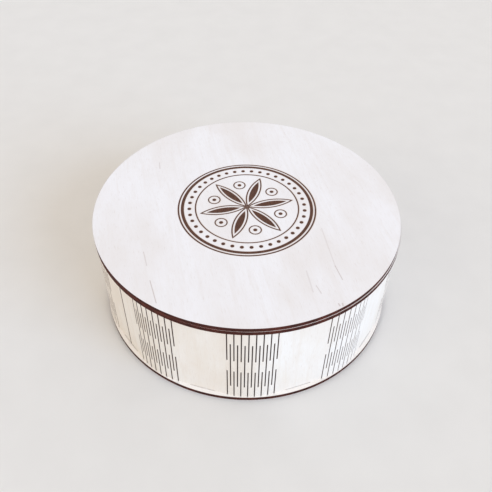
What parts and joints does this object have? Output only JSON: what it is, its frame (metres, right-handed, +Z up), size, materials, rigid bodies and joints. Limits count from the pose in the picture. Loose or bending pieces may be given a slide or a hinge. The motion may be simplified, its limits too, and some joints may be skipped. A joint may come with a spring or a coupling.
{
  "type": "round wooden box",
  "caption": "Round plywood box with a living-hinge wall of flat panels and slit bends, a base disc, a top ring and a lift-off disc lid.",
  "frame": {"origin": "centre of the underside of the base disc", "axes": "+Z up along the axis of the box, -Y towards the front, +X to the right seen from the front"},
  "size_m": [0.2201, 0.22, 0.08],
  "materials": {
    "birch_sheet": "bare sanded birch plywood with scorched cut edges",
    "birch_strip": "bare birch plywood with scorched slits and cut edges"
  },
  "bodies": {
    "box": {"base_disc": "birch_sheet", "wall_strip": "birch_strip", "top_ring": "birch_sheet"},
    "lid": {"lid_disc": "birch_sheet", "lid_locating_disc": "birch_sheet"}
  },
  "joints": [
    {"name": "lid_lift", "type": "slide", "parent": "box", "child": "lid", "axis": [0, 0, 1], "range_m": [0, 0.12]}
  ]
}
